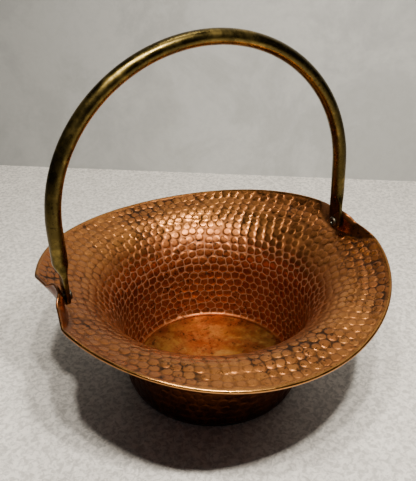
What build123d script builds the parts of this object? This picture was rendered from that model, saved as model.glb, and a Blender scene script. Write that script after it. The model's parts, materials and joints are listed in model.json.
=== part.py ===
from build123d import *
import os
from math import asin, atan2, cos, hypot, pi, radians, sin, sqrt

# Hammered copper basket bowl with a brass bail handle.
# Millimetres. The origin is the centre of the foot, +Z is up, and X runs through both rivets.

# Bowl: a cup that flares into a wide flange, high at the two lugs and low at the front and back.
# It is hand-made: the flare is tight with a high shoulder at the front, and long and gentle at the back.
rim_radius = 115.0
rim_height = 89.5          # average height of the rim
rim_rise = 6.8             # how far the rim goes above and below that average
rise_power = 2.5           # how quickly that rise grows from the neck to the rim
cup_thickness = 1.6
flange_thickness = 2.0     # the hammered edge is the thickest part of the sheet
foot_corner = 5.0          # outside radius between the foot and the wall
wall_radius = 61.2         # middle of the wall, level with the foot
wall_lean = 5.5            # degrees that the wall leans out
cup_height = 32.0          # where the plain turned cup ends and the hand-shaped sheet begins
front_neck, back_neck = 54.0, 35.0       # heights where the flare starts
front_flare, back_flare = 34.0, 56.0     # radii of the flare
front_slope, back_slope = 3.0, 19.0      # degrees that the sheet still climbs where the flare ends
embed = 3.0                # how far one sheet section reaches into the next
section_step = 15          # degrees between the flange's upright sections

# Lugs: the flange folded straight up along a round crease at each end of the X axis
crease_radius = 54.0
crease_centre = 154.75     # distance of the crease circle's centre from the bowl's axis
bend_radius = 3.0          # inside radius of the fold
lug_thickness = 1.6
lug_end_angle = 35.5       # where the lug has died away, seen from the crease circle's centre
lug_stretch = 1.35         # the hammering drew the middle of a lug out taller than the flange it was
side_lean = 24.0           # degrees that the sides of a lug lean out; the pad behind its rivet is upright
lip_lean = 36.0            # degrees that the lip above the pad leans out
pad_height = 0.75          # share of the lug's height below that lip
lean_start, lean_end = 5.0, 16.0         # where the pad ends sideways and the lean is full, same centre
lug_end_height = 0.5       # wall left where the lug dies away
lug_sections = 17

# Rivets
hinge_height = 96.5
rivet_radius = 2.4
rivet_bore = 1.3           # the rivets are tubular at the head
rivet_bore_depth = 5.0
rivet_head_radius = 3.4
rivet_head_height = 1.5
rivet_tail_radius = 3.0
rivet_tail_height = 1.0
rivet_tail_gap = 0.3       # behind the middle of the lug, so that the flat tail clears its curved back
rivet_rounding = 0.6       # share of the head's and the tail's height that is rounded
running_clearance = 0.06

# Bail handle: a round rod, flattened and drilled at both ends
rod_radius = 4.75
leg_spread = 100.5         # from the bowl's axis to the middle of each leg
arch_base = 43.5           # height above the hinge where the legs turn into the arch
arch_rise = 95.2
bail_lean = -4.5           # degrees about +X; the top stands a little towards +Y
tab_width = 11.5
tab_thickness = 3.4
tab_inset = 0.5            # from the rod's axis inwards to the middle of the tab
tab_rounding = 0.6         # radius on the edges of the tab's round end
tab_drop = 5.6             # how far the tab reaches below the hinge
tab_top = 14.0             # height above the hinge where the flat starts to thicken
shoulder_top = 22.0        # height above the hinge where the rod is full round again
lug_gap = 0.3              # between the tab and the lug

tab_face = leg_spread - tab_inset - tab_thickness / 2     # inner face of the tab
lug_face = tab_face + tab_thickness + lug_gap
cutter_length = 20.0       # of the drill for the lugs' rivet holes
bite_height = 70.0         # of the round cutter that clears the flange beyond each crease


# The bowl's sheet, described by the middle of its thickness

def shoulder(angle):
    """Neck height, flare radius and last slope of the flare at one angle round the bowl."""
    backness = (1 + sin(radians(angle))) / 2
    return (front_neck + (back_neck - front_neck) * backness,
            front_flare + (back_flare - front_flare) * backness,
            radians(front_slope + (back_slope - front_slope) * backness))


def wall_at(height):
    """Radius of the middle of the wall at one height."""
    return wall_radius + height * sin(radians(wall_lean)) / cos(radians(wall_lean))


def sheet_height(radius, angle):
    """Height of the unfolded sheet beyond the neck: a round flare, then a quadratic to the rim."""
    neck, flare, last_slope = shoulder(angle)
    lean = radians(wall_lean)
    neck_radius = wall_at(neck)
    flare_end = neck_radius + flare * (cos(lean) - sin(last_slope))
    if radius < flare_end:
        slope = asin(min(cos(lean) - (radius - neck_radius) / flare, 1.0))
        height = neck + flare * (cos(slope) - sin(lean))
    else:
        share = (radius - flare_end) / (rim_radius - flare_end)
        end_height = neck + flare * (cos(last_slope) - sin(lean))
        climb = (rim_radius - flare_end) * sin(last_slope)
        height = end_height + share * climb + share ** 2 * (rim_height - end_height - climb)
    rise_share = max(0.0, (radius - neck_radius) / (rim_radius - neck_radius))
    return height + rim_rise * rise_share ** rise_power * cos(2 * radians(angle))


def sheet_line(angle):
    """Middle line of the hand-shaped sheet at one angle, from inside the cup's wall to the rim."""
    neck, flare, last_slope = shoulder(angle)
    lean = radians(wall_lean)
    start_height = cup_height - embed
    wall_steps, flare_steps, flange_steps = 3, 6, 3
    line = []
    for step in range(wall_steps):
        height = start_height + (neck - start_height) * step / wall_steps
        line.append((wall_at(height), height))
    for step in range(flare_steps):
        slope = pi / 2 - lean + (last_slope - pi / 2 + lean) * step / flare_steps
        radius = wall_at(neck) + flare * (cos(lean) - sin(slope))
        line.append((radius, sheet_height(radius, angle)))
    flare_end = wall_at(neck) + flare * (cos(lean) - sin(last_slope))
    for step in range(flange_steps + 1):
        radius = flare_end + (rim_radius - flare_end) * step / flange_steps
        line.append((radius, sheet_height(radius, angle)))
    return line


def offset_line(line, distance):
    """The line moved sideways by distance, to its left as it runs outwards, which is upwards."""
    moved = []
    for index, (radius, height) in enumerate(line):
        before = line[max(index - 1, 0)]
        after = line[min(index + 1, len(line) - 1)]
        run, rise = after[0] - before[0], after[1] - before[1]
        length = hypot(run, rise)
        moved.append((radius - distance * rise / length, height + distance * run / length))
    return moved


def flange_section(angle):
    """Cross-section of the flange in the upright plane at one angle round the bowl."""
    line = sheet_line(angle)
    plane = Plane(origin=(0, 0, 0), x_dir=(cos(radians(angle)), sin(radians(angle)), 0),
                  z_dir=(sin(radians(angle)), -cos(radians(angle)), 0))
    top = Spline(*offset_line(line, flange_thickness / 2))
    bottom = Spline(*offset_line(line, -flange_thickness / 2))
    outline = [top, Line(top @ 1, bottom @ 1), bottom, Line(bottom @ 0, top @ 0)]
    return plane * make_face(outline)


def flange():
    """The hand-shaped sheet: the right half lofted from upright sections, then mirrored to the left."""
    half = loft([flange_section(angle) for angle in range(-90, 91, section_step)])
    return half + mirror(half, about=Plane.YZ)


def cup():
    """Flat foot and leaning wall, turned about Z and open at the top."""
    lean = radians(wall_lean)
    half = cup_thickness / 2
    top_out = (wall_at(cup_height) + half * cos(lean), cup_height - half * sin(lean))
    top_in = (wall_at(cup_height) - half * cos(lean), cup_height + half * sin(lean))
    foot_out = (top_out[0] - top_out[1] * sin(lean) / cos(lean), 0)
    inner_foot = (top_in[0] - (top_in[1] - cup_thickness) * sin(lean) / cos(lean), cup_thickness)
    outer = FilletPolyline((0, 0), foot_out, top_out, radius=foot_corner)
    inner = FilletPolyline(top_in, inner_foot, (0, cup_thickness), radius=foot_corner - cup_thickness)
    profile = make_face([outer, Line(top_out, top_in), inner, Line((0, cup_thickness), (0, 0))])
    return revolve(Plane.XZ * profile, axis=Axis.Z)


# Lugs

def height_at_reach(reach, lug_angle):
    """Height of the unfolded flange at a distance from the crease circle's centre."""
    x = crease_centre - reach * cos(radians(lug_angle))
    y = reach * sin(radians(lug_angle))
    return sheet_height(hypot(x, y), atan2(y, x) * 180 / pi)


def lug_width(lug_angle):
    """Width of flange outside the crease, which becomes the height of the lug."""
    along = crease_centre * cos(radians(lug_angle))
    return crease_radius - along + sqrt(along ** 2 - crease_centre ** 2 + rim_radius ** 2)


def sideness(lug_angle):
    """0 at the upright pad in the middle of a lug, growing smoothly to 1 at its leaning sides."""
    share = min(max((abs(lug_angle) - lean_start) / (lean_end - lean_start), 0), 1)
    return share ** 2 * (3 - 2 * share)


def lug_section(lug_angle):
    """Cross-section of one lug: a foot inside the flange, the bend, the pad and the lip that leans out."""
    before = height_at_reach(crease_radius + embed, lug_angle)
    slope = atan2(height_at_reach(crease_radius, lug_angle) - before, embed)
    share = sideness(lug_angle)
    tilt, lip_tilt = pi / 2 - radians(side_lean) * share, pi / 2 - radians(lip_lean)
    middle = bend_radius + lug_thickness / 2
    crease_height = height_at_reach(crease_radius, lug_angle)
    stretch = lug_stretch + (1 - lug_stretch) * share
    wall_height = max(stretch * (lug_width(lug_angle) - middle * (tilt - slope)), lug_end_height)
    knee_height = pad_height * wall_height

    def side(offset):
        """Foot, bend and wall lines at a distance above the middle of the sheet."""
        radius = middle - offset
        start = (-offset * sin(slope), crease_height + offset * cos(slope))
        foot = (start[0] - embed * cos(slope), start[1] - embed * sin(slope))
        centre = (start[0] - radius * sin(slope), start[1] + radius * cos(slope))
        halfway = (slope + tilt) / 2
        bend_middle = (centre[0] + radius * sin(halfway), centre[1] - radius * cos(halfway))
        bend_end = (centre[0] + radius * sin(tilt), centre[1] - radius * cos(tilt))
        mitre = offset * sin((tilt - lip_tilt) / 2) / cos((tilt - lip_tilt) / 2)
        pad, lip = knee_height + mitre, wall_height - knee_height + mitre
        knee = (bend_end[0] + pad * cos(tilt), bend_end[1] + pad * sin(tilt))
        top = (knee[0] + lip * cos(lip_tilt), knee[1] + lip * sin(lip_tilt))
        return [Line(foot, start), ThreePointArc(start, bend_middle, bend_end),
                Line(bend_end, knee), Line(knee, top)]

    inner, outer = side(lug_thickness / 2), side(-lug_thickness / 2)
    outline = inner + outer + [Line(inner[-1] @ 1, outer[-1] @ 1), Line(inner[0] @ 0, outer[0] @ 0)]
    direction = (cos(radians(lug_angle)), -sin(radians(lug_angle)), 0)
    crease_foot = (crease_centre - crease_radius * direction[0], -crease_radius * direction[1], 0)
    plane = Plane(origin=crease_foot, x_dir=direction, z_dir=(direction[1], -direction[0], 0))
    return plane * make_face(outline)


def lug():
    """The folded lug at the +X end, lofted along the crease."""
    last = lug_sections - 1
    angles = [lug_end_angle * (2 * step / last - 1) for step in range(lug_sections)]
    return loft([lug_section(angle) for angle in angles])


def bowl():
    """The whole copper sheet: cup, flange and both lugs, with a rivet hole in each lug."""
    bite = Pos(crease_centre, 0, rim_height) * Cylinder(crease_radius, bite_height)
    hole = Pos(lug_face, 0, hinge_height) * Rot(0, 90, 0) * Cylinder(rivet_radius, cutter_length)
    sheet = flange() - bite - mirror(bite, about=Plane.YZ)
    right_lug = lug() - hole
    return cup() + sheet + right_lug + mirror(right_lug, about=Plane.YZ)


# Fastenings

def right_rivet():
    """Tubular rivet: a rolled head inside the tab, a shank, and a clinched tail behind the lug."""
    head_face = tab_face - 2 * running_clearance
    tail_face = lug_face + lug_thickness + rivet_tail_gap
    head = Pos(head_face - rivet_head_height / 2, 0, 0) * Rot(0, 90, 0) * Cylinder(
        rivet_head_radius, rivet_head_height)
    head = fillet(head.edges().sort_by(Axis.X)[0], rivet_head_height * rivet_rounding)
    shank_length = tail_face - head_face
    shank = Pos(head_face + shank_length / 2, 0, 0) * Rot(0, 90, 0) * Cylinder(rivet_radius, shank_length)
    tail = Pos(tail_face + rivet_tail_height / 2, 0, 0) * Rot(0, 90, 0) * Cylinder(
        rivet_tail_radius, rivet_tail_height)
    tail = fillet(tail.edges().sort_by(Axis.X)[-1], rivet_tail_height * rivet_rounding)
    bore = Pos(head_face - rivet_head_height, 0, 0) * Rot(0, 90, 0) * Cylinder(
        rivet_bore, 2 * rivet_bore_depth)
    return Pos(0, 0, hinge_height) * (head + shank + tail - bore)


# Bail handle

def leg_end():
    """Lower end of the right leg: a drilled flat tab and the shoulder that joins it to the rod."""
    round_section = Pos(leg_spread, 0, shoulder_top) * Circle(rod_radius)
    flat_section = Pos(leg_spread - tab_inset, 0, tab_top) * Ellipse(tab_thickness / 2, tab_width / 2)
    shoulder = loft([flat_section, round_section])
    end_radius = tab_width / 2
    end_centre = end_radius - tab_drop
    side_height = tab_top + 1 - end_centre
    outline = Circle(end_radius).moved(Location((0, end_centre))) + Rectangle(
        tab_width, side_height).moved(Location((0, end_centre + side_height / 2)))
    tab = extrude(Plane(origin=(tab_face, 0, 0), x_dir=(0, 1, 0), z_dir=(1, 0, 0)) * outline, tab_thickness)
    tab = fillet(tab.edges().filter_by(GeomType.CIRCLE), tab_rounding)
    hole = Rot(0, 90, 0) * Cylinder(rivet_radius + running_clearance, 4 * leg_spread)
    return tab + shoulder - hole


def bail_handle():
    """One bent rod with a leg end at each side, leaning as it is left standing."""
    right_foot, left_foot = (leg_spread, 0, shoulder_top), (-leg_spread, 0, shoulder_top)
    arch_plane = Plane(origin=(0, 0, arch_base), x_dir=(1, 0, 0), z_dir=(0, -1, 0))
    arch = arch_plane * EllipticalCenterArc((0, 0), leg_spread, arch_rise, start_angle=0, arc_size=180)
    right_leg = Line(right_foot, (leg_spread, 0, arch_base))
    left_leg = Line((-leg_spread, 0, arch_base), left_foot)
    rod = sweep(Pos(*right_foot) * Circle(rod_radius), path=Wire([right_leg, arch, left_leg]))
    right_end = leg_end()
    bail = rod + right_end + mirror(right_end, about=Plane.YZ)
    return Pos(0, 0, hinge_height) * Rot(bail_lean, 0, 0) * bail


def main():
    """Write every piece to its own STEP file."""
    os.makedirs("parts", exist_ok=True)
    pieces = {
        "bowl": bowl(),
        "bail_handle": bail_handle(),
        "right_rivet": right_rivet(),
        "left_rivet": mirror(right_rivet(), about=Plane.YZ),
    }
    for name, piece in pieces.items():
        export_step(piece, f"parts/{name}.step")
        print(name, round(piece.volume), "cubic mm")


main()
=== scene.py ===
import json
from math import cos, pi, radians, sin, tan

import bpy
import numpy as np
from mathutils import Matrix, Vector


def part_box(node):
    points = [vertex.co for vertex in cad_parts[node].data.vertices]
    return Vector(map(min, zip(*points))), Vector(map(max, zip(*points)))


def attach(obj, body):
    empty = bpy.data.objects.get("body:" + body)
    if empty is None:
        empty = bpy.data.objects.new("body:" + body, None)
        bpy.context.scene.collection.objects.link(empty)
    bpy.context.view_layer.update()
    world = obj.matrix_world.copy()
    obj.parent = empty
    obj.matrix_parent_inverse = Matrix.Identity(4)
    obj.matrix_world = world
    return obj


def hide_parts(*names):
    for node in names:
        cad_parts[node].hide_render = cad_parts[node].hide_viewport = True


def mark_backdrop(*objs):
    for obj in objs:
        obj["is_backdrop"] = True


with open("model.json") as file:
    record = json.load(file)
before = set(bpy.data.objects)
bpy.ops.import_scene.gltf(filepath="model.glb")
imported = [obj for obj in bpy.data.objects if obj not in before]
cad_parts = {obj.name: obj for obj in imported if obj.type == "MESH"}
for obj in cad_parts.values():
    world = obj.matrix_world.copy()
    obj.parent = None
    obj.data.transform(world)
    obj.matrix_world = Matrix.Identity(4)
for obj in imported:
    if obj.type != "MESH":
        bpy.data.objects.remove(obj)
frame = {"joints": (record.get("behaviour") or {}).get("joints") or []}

bl_info = {
    "name": "Hammered copper basket bowl",
    "version": (1, 0, 0),
    "blender": (4, 5, 0),
    "location": "3D View > Sidebar > Copper bowl",
    "description": "Builds a hammered copper bowl with folded lugs, its brass bail, rivets and a studio",
    "category": "Add Mesh",
}

MM = 0.001
BOWL_COLUMNS = 536  # vertices in each ring of the bowl
INNER_RINGS, OUTER_RINGS = (5, 140), (3, 30)  # rings across the flat disc and up the sheet, on each side
RIM_LIFTS, RIM_BULGE = np.radians([50, 15, -15, -50]), 0.75  # rings round the rim's edge, and its fullness
ROUND_COLUMNS, ARCH_RINGS = 48, 150  # vertices round the rod and rivets, and rings along half of the arch
POLE_GAP, END_ROUNDING, END_THINNING = 0.03 * MM, 0.6 * MM, 0.86  # rounding of a tab's very end
TAB_SQUARENESS = 0.62  # 0 keeps the tab's section an ellipse, 1 would make it a rectangle
OUTER_RELIEF = 0.45  # depth of the marks outside the bowl, over their depth inside
MARK_ATTRIBUTES = ("mark_first", "mark_second", "mark_third")
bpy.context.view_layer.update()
DOME_TOP, DOME_FOOT = 0.30, 0.56  # where a mark's flat top ends and its side ends, in pitches
ROW_STEP = 0.885  # from one row of hammer marks to the next, in pitches
RISE_POWER = 2.5  # how quickly the saddle grows from the neck to the rim
LEAN_SPAN = (radians(5.0), radians(16.0))  # where a lug's pad ends sideways, seen from its crease's centre
PAD_SHARE = 0.75  # share of a lug's height that the pad behind its rivet takes
KNEE_ROUNDING = 1.2 * MM  # how gently a lug bends above that pad
LAMPS = (((0.010, -0.276, 0.65), 1.3), ((-0.075, -0.234, 0.65), 0.9), ((-0.153, -0.166, 0.65), 0.8))
LAMP_SIZE = 0.03
CEILING_PLACE, CEILING_SIZE, CEILING_POWER = (0.25, 0.15, 1.25), 0.20, 4.0
AIM = (0, 0, 0.05)  # what the lights face
WALL_HEADING, WALL_HEIGHT = (0.541, 0.841, 0), 1.6
FLOOR_REACH, FLOOR_HALF = 2.0, 2.5  # how far the floor goes towards the camera, and half of its width
PIT_COLOUR, GRIME_COLOUR = (0.012, 0.009, 0.005), (0.05, 0.035, 0.02)
LAMP_COLOUR = (1.0, 0.95, 0.86)
HINGE = Vector(frame["joints"][0]["pos_m"])


# Sizes and colours that a user would change

def length(name, description, millimetres):
    """A length property, given in millimetres and kept in metres."""
    return bpy.props.FloatProperty(name=name, description=description, default=millimetres * MM, min=0.0,
                                   precision=5, unit="LENGTH")


def angle(name, description, degrees):
    """An angle property, given in degrees and kept in radians."""
    return bpy.props.FloatProperty(name=name, description=description, default=radians(degrees),
                                   unit="ROTATION", subtype="ANGLE")


def share(name, description, default):
    """A plain share from 0 to 1."""
    return bpy.props.FloatProperty(name=name, description=description, default=default, min=0.0, max=1.0,
                                   subtype="FACTOR")


def colour(name, description, default):
    """A linear colour without alpha."""
    return bpy.props.FloatVectorProperty(name=name, description=description, default=default, size=3,
                                         min=0.0, max=1.0, subtype="COLOR")


class BowlSizes(bpy.types.PropertyGroup):
    """Sizes of the copper sheet."""

    rim_radius: length("Rim radius", "Radius of the round rim seen from above", 115)
    rim_height: length("Rim height", "Average height of the rim", 89.5)
    rim_rise: length("Rim rise", "How far the rim goes above and below its average height", 6.8)
    cup_thickness: length("Cup thickness", "Thickness of the foot, wall and lugs", 1.6)
    rim_thickness: length("Rim thickness", "Thickness of the flange at the rim", 2.0)
    foot_corner: length("Foot corner", "Outside radius between the foot and the wall", 5.0)
    wall_radius: length("Wall radius", "Middle of the wall, level with the foot", 61.2)
    wall_lean: angle("Wall lean", "How far the wall leans out", 5.5)
    front_neck: length("Front neck", "Height where the flare starts at the front", 54.0)
    back_neck: length("Back neck", "Height where the flare starts at the back", 35.0)
    front_flare: length("Front flare", "Radius of the flare at the front", 34.0)
    back_flare: length("Back flare", "Radius of the flare at the back", 56.0)
    front_slope: angle("Front slope", "Slope of the sheet where the front flare ends", 3.0)
    back_slope: angle("Back slope", "Slope of the sheet where the back flare ends", 19.0)
    crease_radius: length("Crease radius", "Radius of the round crease of each lug", 54.0)
    crease_centre: length("Crease centre", "From the bowl's axis to the crease circle's centre", 154.75)
    side_lean: angle("Side lean", "How far the sides of each lug lean out beside the upright pad", 24.0)
    lip_lean: angle("Lip lean", "How far the lip above that pad leans out", 36.0)
    lug_stretch: bpy.props.FloatProperty(
        name="Lug stretch", description="Height of a lug's middle over the flange's width there",
        default=1.35, min=1.0, max=2.0)
    bend_radius: length("Bend radius", "Inside radius of the lug's fold", 3.0)
    mark_pitch: length("Mark pitch", "Distance between neighbouring hammer marks", 6.6)
    mark_depth: length("Mark depth", "Depth of the grooves between marks", 0.22)
    mark_wander: share("Mark wander", "How far marks stray from their rows, in pitches", 0.105)


class CopperColours(bpy.types.PropertyGroup):
    """Colours of the copper."""

    worn: colour("Worn copper", "Copper rubbed bright on the flange", (0.52, 0.205, 0.055))
    toned: colour("Toned copper", "Copper that has darkened to red-brown", (0.28, 0.085, 0.026))
    golden: colour("Golden copper", "Golden copper on the flat foot", (0.47, 0.27, 0.07))
    # Painted highlight: the pinkish colour of the light lines between the marks on the wall.
    painted_line_highlight: colour("Residue", "Pinkish polish left in the grooves of the wall", (0.40, 0.20, 0.11))
    # Painted shade: the near-black red-brown laid over the whole outside, under the flange.
    painted_outside_shade: colour("Underside", "Dark red-brown of the outside", (0.060, 0.016, 0.005))
    patina: colour("Patina", "Dark brown that collects in the marks", (0.035, 0.018, 0.010))


class HandleSizes(bpy.types.PropertyGroup):
    """Sizes and colours of the bail handle."""

    rod_radius: length("Rod radius", "Radius of the round brass rod", 4.75)
    leg_spread: length("Leg spread", "From the bowl's axis to the middle of each leg", 100.5)
    arch_base: length("Arch base", "Height above the hinge where the arch starts", 43.5)
    arch_rise: length("Arch rise", "Rise of the arch above its base", 95.2)
    lean: angle("Lean", "How far the bail leans as it is left standing, about +X", -4.5)
    tab_width: length("Tab width", "Width of the flattened ends", 11.5)
    tab_thickness: length("Tab thickness", "Thickness of the flattened ends", 3.4)
    tab_inset: length("Tab inset", "From the rod's axis inwards to the middle of a tab", 0.5)
    tab_drop: length("Tab drop", "How far the tab reaches below the hinge", 5.6)
    tab_top: length("Tab top", "Height above the hinge where the flat starts to thicken", 13.0)
    shoulder_top: length("Shoulder top", "Height above the hinge where the rod is round again", 23.0)
    brass: colour("Brass", "Rubbed brass", (0.30, 0.205, 0.055))
    tarnish: colour("Tarnish", "Olive-brown tarnish", (0.034, 0.027, 0.009))


class RivetSizes(bpy.types.PropertyGroup):
    """Sizes and colour of the two tubular rivets."""

    shank_radius: length("Shank radius", "Radius of the rivet's shank", 2.4)
    bore_radius: length("Bore radius", "Radius of the hollow in the rivet's head", 1.3)
    bore_depth: length("Bore depth", "Depth of that hollow", 5.0)
    head_radius: length("Head radius", "Radius of the rolled head", 3.4)
    head_height: length("Head height", "Height of the rolled head", 1.5)
    tail_radius: length("Tail radius", "Radius of the clinched tail", 3.0)
    tail_height: length("Tail height", "Height of the clinched tail", 1.0)
    nickel: colour("Nickel", "Dull grey plating", (0.14, 0.125, 0.095))


class StudioSettings(bpy.types.PropertyGroup):
    """Camera, floor and lights."""

    camera_place: bpy.props.FloatVectorProperty(
        name="Camera place", description="Where the camera stands", size=3, unit="LENGTH",
        subtype="TRANSLATION", default=(-0.1643, -0.3084, 0.3167))
    camera_view: bpy.props.FloatVectorProperty(
        name="Camera view", description="Direction that the camera looks in", size=3, subtype="DIRECTION",
        default=(0.3954, 0.7612, -0.5141))
    focal_length: bpy.props.FloatProperty(
        name="Focal length", description="Lens for a 36 mm long side, in millimetres", default=46.58)
    wall_distance: length("Wall distance", "From the bowl's axis to the wall behind it", 335)
    lamp_power: bpy.props.FloatProperty(name="Lamp power", description="Power of each lamp, in watts",
                                        default=2.6)
    floor_colour: colour("Floor colour", "Pale grey floor", (0.95, 0.90, 0.83))
    wall_colour: colour("Wall colour", "Paler wall", (0.60, 0.605, 0.585))


# Meshes

def mesh_piece(name, vertices, faces, smooth=True):
    """A new object at the origin from an array of places and lists of faces."""
    mesh = bpy.data.meshes.new(name)
    mesh.from_pydata(vertices.reshape(-1, 3).tolist(), [], faces)
    mesh.polygons.foreach_set("use_smooth", np.full(len(mesh.polygons), smooth))
    mesh.update()
    piece = bpy.data.objects.new(name, mesh)
    bpy.context.scene.collection.objects.link(piece)
    return piece


def ring_faces(rings, columns):
    """Quads between neighbouring closed rings: ring i, column j joins ring i + 1 and column j + 1."""
    ring, column = np.meshgrid(np.arange(rings - 1), np.arange(columns), indexing="ij")
    after = (column + 1) % columns
    corners = [ring * columns + column, (ring + 1) * columns + column,
               (ring + 1) * columns + after, ring * columns + after]
    return np.stack(corners, axis=-1).reshape(-1, 4).tolist()


def pole_faces(pole, first, columns, outwards):
    """A fan of triangles from one pole vertex to the ring that starts at vertex first."""
    column = np.arange(columns)
    after = (column + 1) % columns
    order = [column, after] if outwards else [after, column]
    fan = np.stack([np.full(columns, pole), first + order[0], first + order[1]], axis=-1)
    return fan.tolist()


def closed_skin(name, places, poles):
    """A closed piece from rings of places, joined to a pole at each end."""
    rings, columns = places.shape[:2]
    faces = ring_faces(rings, columns) + pole_faces(rings * columns, 0, columns, True)
    faces += pole_faces(rings * columns + 1, (rings - 1) * columns, columns, False)
    return mesh_piece(name, np.concatenate([places.reshape(-1, 3), poles]), faces)


def smooth_step(low, high, value):
    """0 below low, 1 above high, with a smooth cubic between them."""
    part = np.clip((value - low) / (high - low), 0, 1)
    return part * part * (3 - 2 * part)


# The bowl's sheet

def shoulder(bowl, around):
    """Neck height, neck radius, flare radius, last slope and end radius of the flare at each angle.

    Each goes from its front value to its back value with the sine of the angle round the bowl.
    """
    backness = (1 + np.sin(around)) / 2
    neck = bowl.front_neck + (bowl.back_neck - bowl.front_neck) * backness
    flare = bowl.front_flare + (bowl.back_flare - bowl.front_flare) * backness
    slope = bowl.front_slope + (bowl.back_slope - bowl.front_slope) * backness
    neck_radius = bowl.wall_radius + neck * tan(bowl.wall_lean)
    return neck, neck_radius, flare, slope, neck_radius + flare * (cos(bowl.wall_lean) - np.sin(slope))


def sheet_height(bowl, radius, around):
    """Height of the unfolded sheet beyond the neck.

    A round flare, then a quadratic that starts with the flare's last slope and ends at the rim, plus the
    saddle: the rim's rise times a power of the way out, times the cosine of twice the angle.
    """
    neck, neck_radius, flare, last_slope, flare_end = shoulder(bowl, around)
    lean = bowl.wall_lean
    slope = np.arcsin(np.clip(cos(lean) - (radius - neck_radius) / flare, -1, cos(lean)))
    on_flare = neck + flare * (np.cos(slope) - sin(lean))
    out = (radius - flare_end) / (bowl.rim_radius - flare_end)
    end_height = neck + flare * (np.cos(last_slope) - sin(lean))
    climb = (bowl.rim_radius - flare_end) * np.sin(last_slope)
    on_flange = end_height + out * climb + out ** 2 * (bowl.rim_height - end_height - climb)
    way_out = np.clip((radius - neck_radius) / (bowl.rim_radius - neck_radius), 0, None)
    saddle = bowl.rim_rise * way_out ** RISE_POWER * np.cos(2 * around)
    return np.where(radius < flare_end, on_flare, on_flange) + saddle


def foot_sizes(bowl):
    """Radius of the flat disc, radius of the corner's middle line, and length of disc plus corner."""
    corner = bowl.foot_corner - bowl.cup_thickness / 2
    wall = bowl.wall_radius + bowl.foot_corner * tan(bowl.wall_lean)
    disc = wall - corner / cos(bowl.wall_lean)
    return disc, corner, disc + corner * (pi / 2 - bowl.wall_lean)


def sheet_profile(bowl, distance, around):
    """Radius and height of the unfolded sheet's middle at a distance along it from the foot's centre.

    A flat disc, a round corner, a leaning wall, a round flare, and a flange whose radius grows evenly.
    """
    disc, corner, foot = foot_sizes(bowl)
    neck, neck_radius, flare, last_slope, flare_end = shoulder(bowl, around)
    lean = bowl.wall_lean
    turn = np.clip((distance - disc) / corner, 0, pi / 2 - lean)
    wall_top = foot + (neck - foot_top(bowl)) / cos(lean)
    slope = np.clip(pi / 2 - lean - (distance - wall_top) / flare, last_slope, pi / 2 - lean)
    out = (distance - wall_top - flare * (pi / 2 - lean - last_slope)) / flange_length(bowl, around)
    on_wall = foot_top(bowl) + (distance - foot) * cos(lean)
    parts = [distance < foot, distance < wall_top, out < 0]
    radius = np.select(parts, [
        np.minimum(distance, disc) + corner * np.sin(turn),
        bowl.wall_radius + on_wall * tan(lean),
        neck_radius + flare * (cos(lean) - np.sin(slope))],
        flare_end + (bowl.rim_radius - flare_end) * out)
    height = np.select(parts[:2], [
        bowl.cup_thickness / 2 + corner * (1 - np.cos(turn)), on_wall],
        sheet_height(bowl, radius, around))
    return radius, height


def foot_top(bowl):
    """Height where the corner of the foot meets the straight wall."""
    corner = bowl.foot_corner - bowl.cup_thickness / 2
    return bowl.foot_corner - corner * sin(bowl.wall_lean)


def flange_length(bowl, around):
    """Length of the sheet from the end of the flare to the rim, taken as straight."""
    flare_end = shoulder(bowl, around)[-1]
    rise = sheet_height(bowl, bowl.rim_radius, around) - sheet_height(bowl, flare_end, around)
    return np.hypot(bowl.rim_radius - flare_end, rise)


def sheet_length(bowl, around):
    """Length of the whole sheet from the foot's centre to the rim."""
    neck, _, flare, last_slope, _ = shoulder(bowl, around)
    foot = foot_sizes(bowl)[2]
    wall = (neck - foot_top(bowl)) / cos(bowl.wall_lean)
    return foot + wall + flare * (pi / 2 - bowl.wall_lean - last_slope) + flange_length(bowl, around)


def crease_distance(bowl, x, y):
    """Distance beyond the nearer lug's crease circle, and the direction towards that circle's centre."""
    toward_x = bowl.crease_centre - np.abs(x)
    reach = np.hypot(toward_x, y)
    return bowl.crease_radius - reach, toward_x / reach, -y / reach


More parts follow.
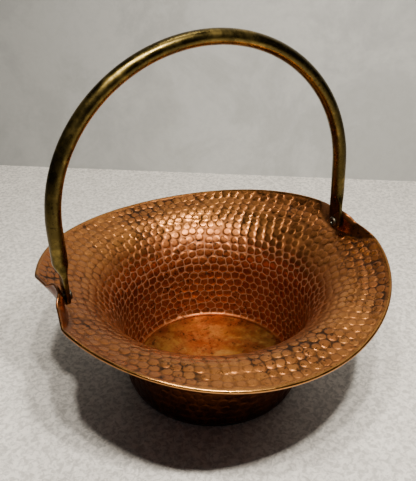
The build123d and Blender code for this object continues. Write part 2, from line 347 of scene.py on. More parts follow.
def sheet_middle(bowl, distance, around):
    """Places on the middle of the sheet, with the two lugs folded up.

    The unfolded sheet is the profile turned about Z plus the saddle. A point beyond the crease circle
    is carried along an arc of the bend's radius and then up a wall, which is stretched and upright in the
    middle of a lug, leans out at its sides and ends in a lip. The bend below the lip is a hyperbola.
    """
    radius, height = sheet_profile(bowl, distance, around)
    x, y = radius * np.cos(around), radius * np.sin(around)
    beyond, outward_x, outward_y = crease_distance(bowl, x, y)
    folded = (beyond > 0) & (radius > bowl.crease_centre - bowl.crease_radius - 1 * MM)

    def unfolded_height(crease_x, crease_y):
        """Height of the sheet over one point of the plan; crease_x is measured towards the nearer lug."""
        angle_there = np.arctan2(crease_y, np.sign(x) * crease_x)
        return sheet_height(bowl, np.hypot(crease_x, crease_y), angle_there)

    foot_x = bowl.crease_centre - bowl.crease_radius * outward_x
    foot_y = -bowl.crease_radius * outward_y
    step = 3 * MM
    foot_height = unfolded_height(foot_x, foot_y)
    before = unfolded_height(foot_x - step * outward_x, foot_y - step * outward_y)
    slope = np.arctan2(foot_height - before, step)
    middle = bowl.bend_radius + bowl.cup_thickness / 2
    seen_from_centre = np.arctan2(np.abs(outward_y), outward_x)
    sideness = smooth_step(*LEAN_SPAN, seen_from_centre)
    tilt, lip_tilt = pi / 2 - bowl.side_lean * sideness, pi / 2 - bowl.lip_lean
    stretch = bowl.lug_stretch + (1 - bowl.lug_stretch) * sideness
    turned = np.minimum(slope + np.clip(beyond, 0, None) / middle, tilt)
    bend = (tilt - slope) * middle
    along = bowl.crease_centre * np.cos(seen_from_centre)
    width = bowl.crease_radius - along + np.sqrt(
        np.clip(along ** 2 - bowl.crease_centre ** 2 + bowl.rim_radius ** 2, 0, None))
    wall = np.clip(beyond - bend, 0, None) * stretch
    knee = np.clip(width - bend, 0, None) * stretch * PAD_SHARE
    past = wall - knee
    lip = (past + np.hypot(past, KNEE_ROUNDING) - np.hypot(knee, KNEE_ROUNDING) + knee) / 2
    pad = wall - lip
    out = middle * (np.sin(turned) - np.sin(slope)) + pad * np.cos(tilt) + lip * cos(lip_tilt)
    up = middle * (np.cos(slope) - np.cos(turned)) + pad * np.sin(tilt) + lip * sin(lip_tilt)
    x = np.where(folded, np.sign(x) * (foot_x + out * outward_x), x)
    y = np.where(folded, foot_y + out * outward_y, y)
    height = np.where(folded, foot_height + up, height)
    return np.stack([x, y, height], axis=-1)


def sheet_normals(bowl, distance, around):
    """Unit normals on the upper and inner side: the cross product of small steps along and around."""
    step = 0.15 * MM
    radius = np.maximum(sheet_profile(bowl, distance, around)[0], 2 * MM)
    ahead = sheet_middle(bowl, distance + step, around)
    behind = sheet_middle(bowl, np.maximum(distance - step, 0), around)
    turn = step / radius
    left = sheet_middle(bowl, distance, around + turn)
    right = sheet_middle(bowl, distance, around - turn)
    normal = np.cross(ahead - behind, left - right)
    return normal / np.linalg.norm(normal, axis=-1, keepdims=True)


def nearest_marks(bowl, distance, around, seed=4, keep=3):
    """The nearest hammer marks to each point, nearest first: away, along, turn, size and shade of each.

    Marks lie in staggered rows, each row a little under one pitch beyond the last, and each mark a little
    out of place. A new candidate is passed down the list of those held, swapping places where it is nearer.
    """
    random = np.random.default_rng(seed)
    radius = sheet_profile(bowl, distance, around)[0]
    found = np.zeros((keep, 5) + distance.shape)
    found[:, (0, 3)] = 1.0
    row, stagger = foot_sizes(bowl)[0] + 4 * MM, 0.0
    while row < distance.max() + bowl.mark_pitch:
        row_radius = sheet_profile(bowl, np.array(row), np.array(0.0))[0]
        count = int(round(2 * pi * row_radius / bowl.mark_pitch))
        shift_along = random.normal(0, bowl.mark_wander, count) * bowl.mark_pitch
        shift_around = random.normal(0, bowl.mark_wander, count)
        size = random.normal(1.0, 0.075, count)
        shade = random.random(count)
        near = np.nonzero(np.abs(distance - row) < 2 * bowl.mark_pitch)
        position = (around[near] / (2 * pi) * count + stagger) % count
        for neighbour in (-1, 0, 1):
            index = (np.round(position).astype(int) + neighbour) % count
            gap = (position - index - shift_around[index] + count / 2) % count - count / 2
            along = row + shift_along[index]
            away = np.hypot(gap * 2 * pi / count * radius[near], distance[near] - along) / size[index]
            turn = (index + shift_around[index] - stagger) * 2 * pi / count
            candidate = np.stack([away, along, turn, size[index], shade[index]])
            for place in range(keep):
                held = found[place][:, near[0], near[1]]
                closer = candidate[0] < held[0]
                found[place][:, near[0], near[1]] = np.where(closer, candidate, held)
                candidate = np.where(closer, held, candidate)
        row += bowl.mark_pitch * ROW_STEP
        stagger += 0.5
    return found


def mark_offsets(bowl, distance, around):
    """For each corner of each face, its offset in pitches from the three marks nearest to the face.

    Returns one (faces, 4, 3) array for each of the three: offset round, offset along, and the mark's shade.
    """
    radius = sheet_profile(bowl, distance, around)[0]
    turn_step = around[0, 1] - around[0, 0]
    middle_around = (around + turn_step / 2)[:-1]
    after = np.roll(distance, -1, axis=1)
    middle = (distance[:-1] + distance[1:] + after[:-1] + after[1:]) / 4
    marks = nearest_marks(bowl, middle, middle_around)
    offsets = []
    for _, along, turn, size, shade in marks:
        corners = []
        for ring, column in ((0, 0), (1, 0), (1, 1), (0, 1)):
            rows = slice(ring, ring + len(middle))
            corner_distance = np.roll(distance, -column, axis=1)[rows]
            corner_radius = np.roll(radius, -column, axis=1)[rows]
            gap = (around[:-1] + column * turn_step - turn + pi) % (2 * pi) - pi
            scale = 1 / (size * bowl.mark_pitch)
            across = gap * corner_radius * scale
            corners.append(np.stack([across, (corner_distance - along) * scale, shade], -1))
        offsets.append(np.stack(corners, axis=2).reshape(-1, 4, 3))
    return offsets


def bowl_rings(bowl, disc_edge, disc_rings, sheet_rings, around):
    """Distances of the rings at each angle: a few across the disc, then evenly spaced up to the rim."""
    disc = np.linspace(0, disc_edge, disc_rings + 1)[1:, None] + 0 * around
    way = np.linspace(0, 1, sheet_rings + 1)[1:, None]
    return np.concatenate([disc, disc_edge + way * (sheet_length(bowl, around) - disc_edge)])


def bowl_side(bowl, distance, around, sign):
    """Places, masks and normals of one side of the sheet; sign is 1 inside and -1 outside.

    Each mark is a low round dome, so the places between neighbouring marks are grooves.
    """
    normal = sheet_normals(bowl, distance, around)
    radius = sheet_profile(bowl, distance, around)[0]
    beyond = crease_distance(bowl, radius * np.cos(around), radius * np.sin(around))[0]
    lug = smooth_step(-2.5 * MM, 0.5 * MM, beyond) * (radius > 80 * MM)
    disc = foot_sizes(bowl)[0]
    to_rim = sheet_length(bowl, around) - distance
    hammered = smooth_step(disc + 1.0 * MM, disc + 5.5 * MM, distance) * (1 - lug)
    hammered = hammered * smooth_step(0.8 * MM, 3.2 * MM, to_rim)
    away = nearest_marks(bowl, distance, around, keep=1)[0, 0]
    dome = 0.5 - smooth_step(DOME_TOP, DOME_FOOT, away / bowl.mark_pitch)
    relief = dome * hammered * bowl.mark_depth * (1.0 if sign > 0 else OUTER_RELIEF)
    thick = bowl.cup_thickness + (bowl.rim_thickness - bowl.cup_thickness) * smooth_step(
        70 * MM, 95 * MM, radius) * (1 - lug)
    places = sheet_middle(bowl, distance, around) + normal * (sign * (thick / 2 + relief))[..., None]
    outside = np.full(distance.shape, 0.0 if sign > 0 else 1.0)
    return places, np.stack([hammered, lug, outside], axis=-1), normal


def build_bowl(bowl):
    """The whole sheet as one closed surface: rings up the inside, round the rim and down the outside."""
    disc_edge = foot_sizes(bowl)[0] - 1.0 * MM
    turn = np.linspace(0, 2 * pi, BOWL_COLUMNS, endpoint=False)
    inner = bowl_rings(bowl, disc_edge, *INNER_RINGS, turn)
    outer = bowl_rings(bowl, disc_edge, *OUTER_RINGS, turn)[::-1]
    around = np.broadcast_to(turn, (len(inner) + len(outer) + len(RIM_LIFTS), BOWL_COLUMNS))
    inner_places, inner_masks, inner_normal = bowl_side(bowl, inner, around[:len(inner)], 1)
    outer_places, outer_masks, _ = bowl_side(bowl, outer, around[:len(outer)], -1)
    rim_middle = (inner_places[-1] + outer_places[0]) / 2
    half = (inner_places[-1] - outer_places[0]) / 2
    outward = inner_places[-1] - inner_places[-2]
    outward -= inner_normal[-1] * np.sum(outward * inner_normal[-1], axis=-1, keepdims=True)
    outward /= np.linalg.norm(outward, axis=-1, keepdims=True)
    half_length = np.linalg.norm(half, axis=-1, keepdims=True)
    outward *= half_length * RIM_BULGE
    rim = [rim_middle + half * sin(lift) + outward * cos(lift) for lift in RIM_LIFTS]
    rim_masks = np.broadcast_to(inner_masks[-1], (len(rim),) + inner_masks[-1].shape)
    places = np.concatenate([inner_places, np.stack(rim), outer_places])
    masks = np.concatenate([inner_masks, rim_masks, outer_masks]).reshape(-1, 3)
    distance = np.concatenate([inner, np.repeat(inner[-1:], len(rim), axis=0), outer])
    piece = closed_skin("copper_bowl", places, [[0, 0, bowl.cup_thickness], [0, 0, 0]])
    for column, name in enumerate(("hammered", "lug", "outside")):
        add_attribute(piece, name, np.append(masks[:, column], [0, column == 2]))
    pole_corners = np.ones(2 * BOWL_COLUMNS * 3 * 3)
    for name, offsets in zip(MARK_ATTRIBUTES, mark_offsets(bowl, distance, around)):
        attribute = piece.data.attributes.new(name, "FLOAT_VECTOR", "CORNER")
        values = np.append(offsets.reshape(-1), pole_corners)
        attribute.data.foreach_set("vector", values.astype(np.float32))
    return piece


def add_attribute(piece, name, values):
    """A number for each vertex that a material can read."""
    attribute = piece.data.attributes.new(name, "FLOAT", "POINT")
    attribute.data.foreach_set("value", np.asarray(values, np.float32))


# The bail handle

def handle_path(handle):
    """Middle line of the bent rod in its own upright plane, from the left tab's end to the right one's.

    Two straight legs joined by half an ellipse; heights are measured from the hinge.
    """
    turn = np.linspace(pi, 0, 400)
    arch_x = handle.leg_spread * np.cos(turn)
    arch_z = handle.arch_base + handle.arch_rise * np.sin(turn)
    x = np.concatenate([[-handle.leg_spread], arch_x, [handle.leg_spread]])
    z = np.concatenate([[-handle.tab_drop], arch_z, [-handle.tab_drop]])
    distance = np.concatenate([[0], np.cumsum(np.hypot(np.diff(x), np.diff(z)))])
    half = distance[-1] / 2
    end_length = handle.shoulder_top + handle.tab_drop
    tab_steps = np.concatenate([
        (1 - np.cos(np.linspace(0.12, pi / 2, 10))) * handle.tab_width / 2,
        np.linspace(handle.tab_width / 2, end_length, 26)[1:]])
    arch_steps = np.linspace(end_length, half, ARCH_RINGS)[1:]
    side = np.concatenate([tab_steps, arch_steps])
    steps = np.concatenate([side, (2 * half - side[:-1])[::-1]])
    return steps, np.interp(steps, distance, x), np.interp(steps, distance, z), distance[-1]


def build_handle(handle):
    """A closed skin carried along the bent rod.

    The section is a superellipse: a circle of the rod's radius on the arch, and squarer towards each end,
    where its thickness shrinks, its width grows, and the last stretch narrows along a half circle.
    """
    steps, x, z, total = handle_path(handle)
    from_end = np.minimum(steps, total - steps)
    flat = 1 - smooth_step(handle.tab_top, handle.shoulder_top, from_end - handle.tab_drop)
    half_thick = handle.rod_radius + (handle.tab_thickness / 2 - handle.rod_radius) * flat
    half_wide = handle.rod_radius + (handle.tab_width / 2 - handle.rod_radius) * flat
    end_radius = handle.tab_width / 2
    to_centre = np.clip(1 - from_end / end_radius, 0, 1)
    half_wide = half_wide * np.sqrt(np.clip(1 - to_centre ** 2, 0.0, 1))
    half_thick = half_thick * np.where(from_end < END_ROUNDING, END_THINNING, 1.0)
    tangent_x, tangent_z = np.gradient(x, steps), np.gradient(z, steps)
    norm = np.hypot(tangent_x, tangent_z)
    outward_x, outward_z = -tangent_z / norm, tangent_x / norm
    around = np.linspace(0, 2 * pi, ROUND_COLUMNS, endpoint=False)
    power = 1 - TAB_SQUARENESS * flat[:, None]
    cosine, sine = np.cos(around)[None, :], np.sin(around)[None, :]
    across = np.sign(cosine) * np.abs(cosine) ** power
    sideways = np.sign(sine) * np.abs(sine) ** power
    inset = (handle.tab_inset * flat)[:, None]
    out = half_thick[:, None] * across - inset
    wide = half_wide[:, None] * sideways
    px = x[:, None] + outward_x[:, None] * out
    pz = z[:, None] + outward_z[:, None] * out
    places = np.stack([px, wide, pz], axis=-1)
    ends = np.array([[x[0] + handle.tab_inset, 0, z[0] - POLE_GAP],
                     [x[-1] - handle.tab_inset, 0, z[-1] - POLE_GAP]])
    lean = np.array(Matrix.Rotation(handle.lean, 3, "X")).T
    return closed_skin("brass_bail", places @ lean + np.array(HINGE), ends @ lean + np.array(HINGE))


def turned_profile(name, radius, along):
    """A profile of (radius, along) turned about X and closed with a pole at each end."""
    around = np.linspace(0, 2 * pi, ROUND_COLUMNS, endpoint=False)
    x = np.broadcast_to(along[:, None], (len(along), ROUND_COLUMNS))
    y = radius[:, None] * np.cos(around)
    z = -radius[:, None] * np.sin(around)
    return closed_skin(name, np.stack([x, y, z], axis=-1), [[along[0], 0, 0], [along[-1], 0, 0]])


def build_rivet(rivet, name, node, sign):
    """A rolled head round a blind bore, a shank and a clinched tail, between the CAD rivet's two ends."""
    low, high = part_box(node)
    inner_end, outer_end = (low.x, high.x) if sign > 0 else (-high.x, -low.x)
    head_face = inner_end + rivet.head_height
    tail_face, half_tail = outer_end - rivet.tail_height, rivet.tail_height / 2
    lip = np.linspace(0, pi, 12)
    lip_middle = (rivet.head_radius + rivet.bore_radius) / 2
    lip_half = (rivet.head_radius - rivet.bore_radius) / 2
    bore_end = inner_end + rivet.bore_depth
    radius = [rivet.bore_radius * 0.5, rivet.bore_radius]
    along = [bore_end, bore_end - 0.3 * MM]
    radius += (lip_middle - lip_half * np.cos(lip)).tolist()
    along += (head_face - 0.15 * MM - (rivet.head_height - 0.15 * MM) * np.sin(lip)).tolist()
    radius += [rivet.head_radius, rivet.head_radius - 0.1 * MM, rivet.shank_radius, rivet.shank_radius]
    along += [head_face - 0.1 * MM, head_face, head_face, tail_face]
    tail = np.linspace(-pi / 2, pi / 2, 8)
    radius += (rivet.tail_radius - half_tail + half_tail * np.cos(tail)).tolist()
    along += (tail_face + half_tail + half_tail * np.sin(tail)).tolist()
    radius += [rivet.bore_radius, rivet.bore_radius * 0.5]
    along += [outer_end, outer_end - 0.25 * MM]
    piece = turned_profile(name, np.array(radius), np.array(along))
    mesh = piece.data
    mesh.transform(Matrix.Translation(Vector((0, HINGE.y, HINGE.z))))
    if sign < 0:
        mesh.transform(Matrix.Scale(-1, 4, Vector((1, 0, 0))))
        mesh.flip_normals()
    return piece


# Material parts

def node_group(name, inputs, outputs):
    """An empty shader group with named sockets, given as {name: (type, default)} and {name: type}."""
    group = bpy.data.node_groups.new(name, "ShaderNodeTree")
    for socket_name, (kind, default) in inputs.items():
        socket = group.interface.new_socket(socket_name, in_out="INPUT", socket_type=kind)
        socket.default_value = default
    for socket_name, kind in outputs.items():
        group.interface.new_socket(socket_name, in_out="OUTPUT", socket_type=kind)
    return group, group.nodes.new("NodeGroupInput"), group.nodes.new("NodeGroupOutput")


class Nodes:
    """Short ways to add and join nodes in one tree."""

    def __init__(self, tree):
        self.tree = tree

    def add(self, kind, inputs=None, **settings):
        """A node with its settings, and its inputs either linked or given a value."""
        node = self.tree.nodes.new(kind)
        for setting, value in settings.items():
            setattr(node, setting, value)
        for socket, value in (inputs or {}).items():
            self.give(node.inputs[socket], value)
        return node

    def give(self, socket, value):
        """Links an output to the socket, or sets its own value, with full alpha for a colour."""
        if isinstance(value, bpy.types.NodeSocket):
            self.tree.links.new(value, socket)
        else:
            socket.default_value = (*value, 1.0) if socket.type == "RGBA" else value

    def noise(self, place, scale, detail=3.0, roughness=0.5, distortion=0.0):
        """Fractal noise at a scale, in features per metre."""
        return self.add("ShaderNodeTexNoise", {
            "Vector": place, "Scale": scale, "Detail": detail, "Roughness": roughness,
            "Distortion": distortion}).outputs["Fac"]

    def between(self, value, low, high, to_low=0.0, to_high=1.0):
        """A value moved smoothly from the range low..high to the range to_low..to_high."""
        return self.add("ShaderNodeMapRange", {
            "Value": value, "From Min": low, "From Max": high, "To Min": to_low, "To Max": to_high},
            interpolation_type="SMOOTHSTEP").outputs["Result"]

    def maths(self, operation, first, second=0.0):
        """One step of arithmetic."""
        return self.add("ShaderNodeMath", {0: first, 1: second}, operation=operation).outputs["Value"]

    def times(self, first, second):
        """One number times another."""
        return self.maths("MULTIPLY", first, second)

    def plus(self, first, second):
        """One number plus another."""
        return self.maths("ADD", first, second)

    def less(self, first, second):
        """One number less another."""
        return self.maths("SUBTRACT", first, second)

    def blend(self, amount, first, second, mode="MIX"):
        """Two colours mixed by an amount."""
        node = self.add("ShaderNodeMix", data_type="RGBA", blend_type=mode)
        self.give(node.inputs["Factor"], amount)
        self.give(node.inputs["A"], first)
        self.give(node.inputs["B"], second)
        return [socket for socket in node.outputs if socket.type == "RGBA"][0]

    def choose(self, amount, first, second):
        """Two numbers mixed by an amount."""
        node = self.add("ShaderNodeMix", data_type="FLOAT")
        for socket, value in zip(node.inputs, (amount, None, first, second)):
            if value is not None:
                self.give(socket, value)
        return node.outputs[0]

    def attribute(self, name):
        """A number stored on the mesh's vertices."""
        return self.add("ShaderNodeAttribute", attribute_name=name).outputs["Fac"]


def marks_group():
    """Hammer marks from the offsets stored on the mesh: distances in pitches, and the nearest mark's shade.

    Middle is the distance from the nearest mark's middle. Edge is the second distance less the first,
    which is nought on the ridge between two marks.
    """
    group, _, result = node_group("Hammer marks", {}, {
        "Middle": "NodeSocketFloat", "Edge": "NodeSocketFloat", "Shade": "NodeSocketFloat"})
    nodes = Nodes(group)
    away, shade = [], []
    for name in MARK_ATTRIBUTES:
        parts = nodes.add("ShaderNodeSeparateXYZ", {
            "Vector": nodes.add("ShaderNodeAttribute", attribute_name=name).outputs["Vector"]})
        across = nodes.maths("POWER", nodes.maths("ABSOLUTE", parts.outputs["X"]), 2.0)
        along = nodes.maths("POWER", nodes.maths("ABSOLUTE", parts.outputs["Y"]), 2.0)
        away.append(nodes.maths("SQRT", nodes.plus(across, along)))
        shade.append(parts.outputs["Z"])
    first, second, third = away
    near = nodes.maths("MINIMUM", first, second)
    far = nodes.maths("MAXIMUM", first, second)
    middle = nodes.maths("MINIMUM", near, third)
    next_away = nodes.maths("MAXIMUM", near, nodes.maths("MINIMUM", far, third))
    nearest_shade = nodes.choose(nodes.maths("LESS_THAN", second, first), shade[0], shade[1])
    nearest_shade = nodes.choose(nodes.maths("LESS_THAN", third, near), nearest_shade, shade[2])
    nodes.give(result.inputs["Middle"], middle)
    nodes.give(result.inputs["Edge"], nodes.less(next_away, middle))
    nodes.give(result.inputs["Shade"], nearest_shade)
    return group


def patina_group():
    """Mottled tarnish as two masks: broad clouds with finer blotches, and small dark specks."""
    group, source, result = node_group(
        "Patina", {"Place": ("NodeSocketVector", (0, 0, 0)), "Cloud Scale": ("NodeSocketFloat", 30.0),
                   "Speck Scale": ("NodeSocketFloat", 500.0), "Amount": ("NodeSocketFloat", 0.5)},
        {"Clouds": "NodeSocketFloat", "Specks": "NodeSocketFloat"})
    nodes = Nodes(group)
    place = source.outputs["Place"]
    broad = nodes.noise(place, source.outputs["Cloud Scale"], 4.0, 0.6, 0.4)
    fine_scale = nodes.times(source.outputs["Cloud Scale"], 6.5)
    fine = nodes.noise(place, fine_scale, 3.0, 0.65)
    mixed = nodes.plus(nodes.times(broad, 0.65), nodes.times(fine, 0.35))
    level = nodes.less(1.0, source.outputs["Amount"])
    centred = nodes.less(mixed, nodes.between(level, 0.0, 1.0, 0.25, 0.75))
    clouds = nodes.between(centred, -0.09, 0.12)
    dots = nodes.noise(place, source.outputs["Speck Scale"], 2.0, 0.6)
    specks = nodes.times(nodes.between(dots, 0.57, 0.66), nodes.between(broad, 0.40, 0.60))
    nodes.give(result.inputs["Clouds"], clouds)
    nodes.give(result.inputs["Specks"], specks)
    return group


def scuff_group():
    """Fine handling scratches and pits, as a height for a bump."""
    group, source, result = node_group(
        "Scuffs", {"Place": ("NodeSocketVector", (0, 0, 0)), "Scale": ("NodeSocketFloat", 700.0)},
        {"Height": "NodeSocketFloat", "Gloss": "NodeSocketFloat"})
    nodes = Nodes(group)
    place = source.outputs["Place"]
    stretch = nodes.add("ShaderNodeMapping", {"Vector": place, "Scale": (0.22, 1.0, 0.6),
                                              "Rotation": (0.3, 0.5, 0.8)}).outputs["Vector"]
    lines = nodes.noise(stretch, source.outputs["Scale"], 2.0, 0.7)
    grit = nodes.noise(place, source.outputs["Scale"], 3.0, 0.6)
    height = nodes.plus(nodes.times(lines, 0.5), nodes.times(grit, 0.5))
    soft = nodes.noise(place, 90.0, 3.0, 0.6)
    nodes.give(result.inputs["Height"], height)
    nodes.give(result.inputs["Gloss"], soft)
    return group


SHARED_GROUPS = {"Hammer marks": marks_group, "Patina": patina_group, "Scuffs": scuff_group}


def use_group(nodes, name, **inputs):
    """A shared group placed in a material with its own values; it is built when first asked for."""
    group = bpy.data.node_groups.get(name) or SHARED_GROUPS[name]()
    values = {socket.replace("_", " ").title(): value for socket, value in inputs.items()}
    return nodes.add("ShaderNodeGroup", values, node_tree=group).outputs


def scratched(nodes, shader, scuff, roughness, strength, depth):
    """Gives a shader a roughness that varies between two values, and fine scratches."""
    nodes.give(shader.inputs["Roughness"], nodes.between(scuff["Gloss"], 0.3, 0.7, *roughness))
    bump = nodes.add("ShaderNodeBump", {"Strength": strength, "Distance": depth, "Height": scuff["Height"]})
    nodes.give(shader.inputs["Normal"], bump.outputs["Normal"])


def new_material(name, metallic, roughness):
    """A material with one Principled shader, and its node helper and object coordinates."""
    material = bpy.data.materials.new(name)
    material.use_nodes = True
    shader = material.node_tree.nodes["Principled BSDF"]
    shader.inputs["Metallic"].default_value = metallic
    shader.inputs["Roughness"].default_value = roughness
    nodes = Nodes(material.node_tree)
    place = nodes.add("ShaderNodeTexCoord").outputs["Object"]
    return material, shader, nodes, place


def copper_material(colours):
    """Hammered copper: red-brown with painted highlights on the lines between the wall's marks, rubbed with
    dark outlines on the flange, and painted shade on the lugs and the outside.
    """
    material, shader, nodes, place = new_material("hammered_copper", 1.0, 0.33)
    tarnish = use_group(nodes, "Patina", place=place, cloud_scale=20.0, speck_scale=420.0, amount=0.45)
    scuff = use_group(nodes, "Scuffs", place=place, scale=620.0)
    mark = use_group(nodes, "Hammer marks")
    parts = nodes.add("ShaderNodeSeparateXYZ", {"Vector": place}).outputs
    level = nodes.add("ShaderNodeVectorMath", {0: place, 1: (1.0, 1.0, 0.0)}, operation="MULTIPLY")
    across = nodes.add("ShaderNodeVectorMath", {0: level.outputs["Vector"]},
                       operation="LENGTH").outputs["Value"]
    clouds = tarnish["Clouds"]
    hammered, lug = nodes.attribute("hammered"), nodes.attribute("lug")
    outside = nodes.attribute("outside")
    flange = nodes.between(across, 0.070, 0.088)
    rubbed = nodes.times(flange, nodes.between(clouds, 0.0, 1.0, 1.0, 0.55))
    # The flange turns darker towards its left and right sides, near the lugs.
    sideways = nodes.maths("ABSOLUTE", parts["X"])
    flange_sides = nodes.times(nodes.between(sideways, 0.055, 0.095, 0.0, 0.55), flange)
    wobble = nodes.times(nodes.less(scuff["Gloss"], 0.5), 0.10)
    middle = nodes.plus(mark["Middle"], wobble)
    groove = nodes.times(nodes.between(middle, 0.40, 0.53), hammered)
    line = nodes.times(nodes.between(mark["Edge"], 0.04, 0.17, 1.0, 0.0), hammered)
    inside = nodes.less(1.0, outside)
    # Painted highlight: pinkish lines between the marks inside the wall, fading out towards the flange.
    painted_line_highlight = nodes.times(nodes.times(line, nodes.between(across, 0.068, 0.082, 0.60, 0.0)), inside)
    dark = nodes.times(nodes.maths("MAXIMUM", groove, nodes.times(line, 0.8)),
                       nodes.between(across, 0.072, 0.086))
    dark = nodes.times(dark, nodes.between(clouds, 0.0, 0.8, 0.40, 0.95))
    disc = nodes.times(nodes.between(across, 0.056, 0.058, 1.0, 0.0),
                       nodes.between(clouds, 0.0, 1.0, 1.0, 0.25))
    stain = use_group(nodes, "Patina", place=place, cloud_scale=48.0, speck_scale=330.0, amount=0.56)
    foot = nodes.between(across, 0.056, 0.058, 0.9, 0.0)
    rim = nodes.times(nodes.between(across, 0.1130, 0.1145), inside)
    # Painted shade: the folded lugs darkened with the patina colour, mottled by the clouds.
    painted_lug_shade = nodes.times(lug, nodes.between(clouds, 0, 1, 0.35, 0.9))
    base = colours.toned
    # The last layer is painted shade: the whole outside of the bowl turned near-black red-brown.
    for amount, tint in (
            (rubbed, colours.worn), (nodes.times(mark["Shade"], 0.38), colours.toned),
            (flange_sides, colours.toned), (painted_line_highlight, colours.painted_line_highlight), (dark, colours.patina),
            (disc, colours.golden), (nodes.times(stain["Clouds"], foot), colours.toned),
            (nodes.times(stain["Specks"], foot), colours.patina),
            (nodes.times(tarnish["Specks"], 0.85), colours.patina), (nodes.times(rim, 0.3), colours.golden),
            (painted_lug_shade, colours.patina), (nodes.times(outside, 0.92), colours.painted_outside_shade)):
        base = nodes.blend(amount, base, tint)
    nodes.give(shader.inputs["Base Color"], base)
    nodes.give(shader.inputs["Metallic"], nodes.less(1.0, nodes.times(painted_line_highlight, 0.6)))
    rough = nodes.between(scuff["Gloss"], 0.3, 0.7, 0.20, 0.34)
    rough = nodes.plus(rough, nodes.times(clouds, 0.08))
    rough = nodes.plus(rough, nodes.times(groove, 0.15))
    rough = nodes.plus(rough, nodes.between(across, 0.074, 0.090, 0.10, 0.0))
    nodes.give(shader.inputs["Roughness"], nodes.less(rough, nodes.times(rim, 0.08)))
    dome = nodes.times(nodes.between(middle, DOME_TOP, DOME_FOOT, 1.0, 0.0), hammered)
    uneven = nodes.times(nodes.noise(place, 75.0, 2.0, 0.5), foot)
    beaten = nodes.add("ShaderNodeBump", {"Strength": 0.8, "Distance": 0.0016, "Height": uneven})
    marked = nodes.add("ShaderNodeBump", {"Strength": 1.0, "Distance": 0.00022, "Height": dome,
                                          "Normal": beaten.outputs["Normal"]})
    bump = nodes.add("ShaderNodeBump", {"Strength": 0.22, "Distance": 0.0004, "Height": scuff["Height"],
                                        "Normal": marked.outputs["Normal"]})
    nodes.give(shader.inputs["Normal"], bump.outputs["Normal"])
    return material


def brass_material(handle):
    """Brass rod under olive-brown tarnish with small dark pits."""
    material, shader, nodes, place = new_material("aged_brass", 1.0, 0.34)
    tarnish = use_group(nodes, "Patina", place=place, cloud_scale=26.0, speck_scale=650.0, amount=0.62)
    scuff = use_group(nodes, "Scuffs", place=place, scale=800.0)
    base = nodes.blend(nodes.between(tarnish["Clouds"], 0, 1, 0.25, 0.8), handle.brass,
                       handle.tarnish)
    base = nodes.blend(nodes.times(tarnish["Specks"], 0.8), base, PIT_COLOUR)
    nodes.give(shader.inputs["Base Color"], base)
    scratched(nodes, shader, scuff, (0.18, 0.36), 0.2, 0.3 * MM)
    return material


def nickel_material(rivet):
    """Dull grey plating with brown dirt."""
    material, shader, nodes, place = new_material("rivet_nickel", 1.0, 0.35)
    tarnish = use_group(nodes, "Patina", place=place, cloud_scale=180.0, speck_scale=1500.0, amount=0.5)
    scuff = use_group(nodes, "Scuffs", place=place, scale=1500.0)
    base = nodes.blend(nodes.times(tarnish["Clouds"], 0.6), rivet.nickel,
                       GRIME_COLOUR)
    nodes.give(shader.inputs["Base Color"], base)
    scratched(nodes, shader, scuff, (0.28, 0.45), 0.15, 0.2 * MM)
    return material


# Operators

class OBJECT_OT_copper_bowl(bpy.types.Operator):
    """Add the hammered copper bowl with its two folded lugs."""

    bl_idname = "object.copper_bowl"
    bl_label = "Copper bowl"

    def execute(self, context):
        scene = context.scene
        piece = build_bowl(scene.bowl_sizes)
        piece.data.materials.append(copper_material(scene.copper_colours))
        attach(piece, "bowl")
        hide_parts("bowl")
        return {"FINISHED"}


class OBJECT_OT_brass_bail(bpy.types.Operator):
    """Add the bent brass rod with its flattened ends."""

    bl_idname = "object.brass_bail"
    bl_label = "Brass bail"

    def execute(self, context):
        handle = context.scene.handle_sizes
        piece = build_handle(handle)
        piece.data.materials.append(brass_material(handle))
        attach(piece, "bail")
        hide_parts("bail_handle")
        return {"FINISHED"}


class OBJECT_OT_tubular_rivets(bpy.types.Operator):
    """Add the two tubular rivets that hold the bail."""

    bl_idname = "object.tubular_rivets"
    bl_label = "Tubular rivets"

    def execute(self, context):
        rivet = context.scene.rivet_sizes
        material = nickel_material(rivet)
        for node, sign in (("right_rivet", 1), ("left_rivet", -1)):
            piece = build_rivet(rivet, "tubular_" + node, node, sign)
            piece.data.materials.append(material)
            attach(piece, "bowl")
            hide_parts(node)
        return {"FINISHED"}


def plain_material(name, colour_value, roughness, grain, mottle, painted_shade_direction=(0.0, 0.0, 0.0)):
    """A pale matt stone: fine grain and broad mottling, each given as (features per metre, darkening).

    It also carries painted shade, darkening against the painted shade direction, whose length sets how
    quickly.
    """
    material, shader, nodes, place = new_material(name, 0.0, roughness)
    shade, darkest = colour_value, tuple(channel * 0.3 for channel in colour_value)
    for scale, darkening in (grain, mottle):
        cloud = nodes.between(nodes.noise(place, scale, 5.0, 0.7, 0.6), 0.40, 0.58, darkening, 0.0)
        shade = nodes.blend(cloud, shade, darkest)
    along = nodes.add("ShaderNodeVectorMath", {0: place, 1: painted_shade_direction}, operation="DOT_PRODUCT").outputs["Value"]
    # Painted shade: darker against the given direction.
    shade = nodes.blend(nodes.between(along, -1.0, 0.0, 0.55, 0.0), shade, darkest)
    nodes.give(shader.inputs["Base Color"], shade)
    return material


def one_sided(material):
    """Lets the back of a material be seen through, so that the wall hides nothing from behind."""
    nodes = Nodes(material.node_tree)
    behind = nodes.add("ShaderNodeNewGeometry").outputs["Backfacing"]
    clear = nodes.add("ShaderNodeBsdfTransparent").outputs["BSDF"]
    shader = material.node_tree.nodes["Principled BSDF"].outputs["BSDF"]
    mixed = nodes.add("ShaderNodeMixShader", {0: behind, 1: shader, 2: clear})
    nodes.give(material.node_tree.nodes["Material Output"].inputs["Surface"], mixed.outputs["Shader"])
    return material


def flat_panel(name, corners, material):
    """One large flat quad of the stage."""
    panel = mesh_piece(name, np.array(corners, float), [[0, 1, 2, 3]], smooth=False)
    panel.data.materials.append(material)
    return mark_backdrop(panel)


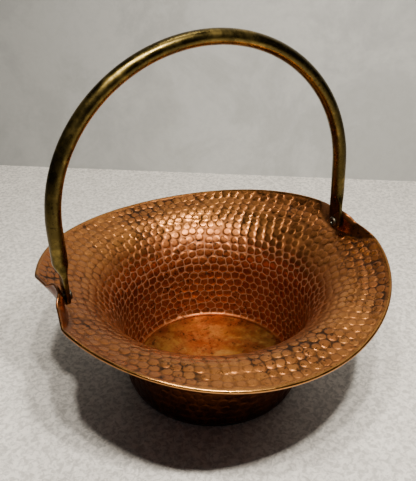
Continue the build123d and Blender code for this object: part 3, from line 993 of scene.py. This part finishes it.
def area_light(name, place, size, power):
    """A square soft light that faces the bowl."""
    light = bpy.data.lights.new(name, "AREA")
    light.shape = "RECTANGLE"
    light.size = light.size_y = size
    light.energy = power
    light.color = LAMP_COLOUR
    lamp = bpy.data.objects.new(name, light)
    lamp.location = place
    lamp.rotation_euler = (Vector(AIM) - Vector(place)).to_track_quat("-Z", "Y").to_euler()
    bpy.context.scene.collection.objects.link(lamp)


class OBJECT_OT_copper_studio(bpy.types.Operator):
    """Add the pale floor and wall, the soft lights and the camera."""

    bl_idname = "object.copper_studio"
    bl_label = "Studio"

    def execute(self, context):
        studio = context.scene.studio_settings
        heading = Vector(WALL_HEADING)
        across = Vector((heading.y, -heading.x, 0))
        floor = plain_material("pale_floor", studio.floor_colour, 0.55, (280.0, 0.52), (60.0, 0.16))
        # The wall gets painted shade, darker towards the left and towards the top.
        wall = one_sided(plain_material("pale_wall", studio.wall_colour, 0.6, (90.0, 0.08), (9.0, 0.22),
                                        tuple(across * 2.6 - Vector((0, 0, 1.2)))))
        near = [across * side - heading * FLOOR_REACH for side in (-FLOOR_HALF, FLOOR_HALF)]
        far = [across * side + heading * studio.wall_distance for side in (FLOOR_HALF, -FLOOR_HALF)]
        flat_panel("studio_floor", [*near, *far], floor)
        top = [corner + Vector((0, 0, WALL_HEIGHT)) for corner in far]
        flat_panel("studio_wall", [far[1], far[0], top[0], top[1]], wall)
        for number, (place, strength) in enumerate(LAMPS, 1):
            area_light(f"lamp_{number}", place, LAMP_SIZE, studio.lamp_power * strength)
        area_light("ceiling_light", CEILING_PLACE, CEILING_SIZE, CEILING_POWER)
        world = bpy.data.worlds.new("studio_world")
        world.use_nodes = True
        background = world.node_tree.nodes["Background"]
        background.inputs["Color"].default_value = (0.9, 0.92, 1.0, 1.0)
        background.inputs["Strength"].default_value = 0.035
        context.scene.world = world
        camera = bpy.data.cameras.new("camera")
        camera.lens = studio.focal_length
        camera.sensor_width = 36.0
        camera.clip_start = 0.01
        eye = bpy.data.objects.new("camera", camera)
        eye.location = studio.camera_place
        eye.rotation_euler = Vector(studio.camera_view).to_track_quat("-Z", "Y").to_euler()
        context.scene.collection.objects.link(eye)
        context.scene.camera = eye
        return {"FINISHED"}


class VIEW3D_PT_copper_bowl(bpy.types.Panel):
    """Sidebar panel that lists the pieces."""

    bl_idname = "VIEW3D_PT_copper_bowl"
    bl_label = "Hammered copper bowl"
    bl_space_type = "VIEW_3D"
    bl_region_type = "UI"
    bl_category = "Copper bowl"

    def draw(self, context):
        for operator in OPERATORS:
            self.layout.operator(operator.bl_idname)
        for group in GROUPS:
            box = self.layout.box()
            settings = getattr(context.scene, group)
            for setting in settings.__annotations__:
                box.prop(settings, setting)


OPERATORS = (OBJECT_OT_copper_bowl, OBJECT_OT_brass_bail, OBJECT_OT_tubular_rivets, OBJECT_OT_copper_studio)
GROUPS = {
    "bowl_sizes": BowlSizes,
    "copper_colours": CopperColours,
    "handle_sizes": HandleSizes,
    "rivet_sizes": RivetSizes,
    "studio_settings": StudioSettings,
}


def register():
    """Registers the property groups, operators and panel."""
    for name, group in GROUPS.items():
        bpy.utils.register_class(group)
        setattr(bpy.types.Scene, name, bpy.props.PointerProperty(type=group))
    for operator in OPERATORS:
        bpy.utils.register_class(operator)
    bpy.utils.register_class(VIEW3D_PT_copper_bowl)


def unregister():
    """Removes the panel, operators and property groups."""
    bpy.utils.unregister_class(VIEW3D_PT_copper_bowl)
    for operator in reversed(OPERATORS):
        bpy.utils.unregister_class(operator)
    for name, group in reversed(GROUPS.items()):
        delattr(bpy.types.Scene, name)
        bpy.utils.unregister_class(group)


def main():
    """Builds every piece and the studio."""
    register()
    bpy.ops.object.copper_bowl()
    bpy.ops.object.brass_bail()
    bpy.ops.object.tubular_rivets()
    bpy.ops.object.copper_studio()


if __name__ == "__main__":
    main()
